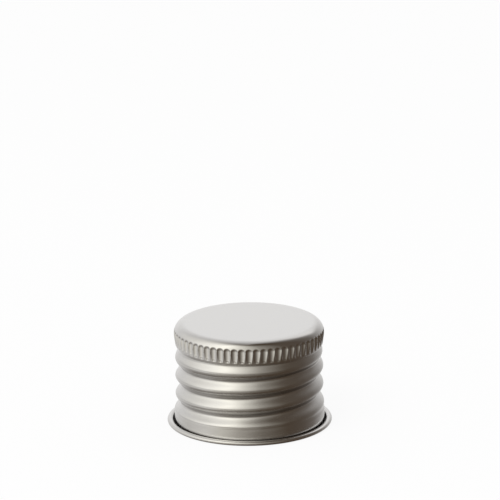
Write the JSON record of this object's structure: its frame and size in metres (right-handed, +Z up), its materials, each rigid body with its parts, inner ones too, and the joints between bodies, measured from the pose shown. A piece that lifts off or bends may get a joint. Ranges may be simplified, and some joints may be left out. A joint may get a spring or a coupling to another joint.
{
  "type": "bottle cap",
  "caption": "Bare metal screw cap with a flat top, a fluted grip band, a rolled screw thread, a plain skirt and an outward-curled rim, lined with a soft sealing disc.",
  "frame": {"origin": "centre of the plane that the curled rim stands on", "axes": "+Z up along the cap's axis, from the open mouth to the closed top; -Y is the front, where the thread leaves the grip band"},
  "size_m": [0.028, 0.028, 0.0176],
  "materials": {
    "shell": "satin, as rolled",
    "liner": "soft closed-cell foam, matt"
  },
  "bodies": {
    "root": {"shell": "shell", "liner": "liner"}
  },
  "joints": []
}
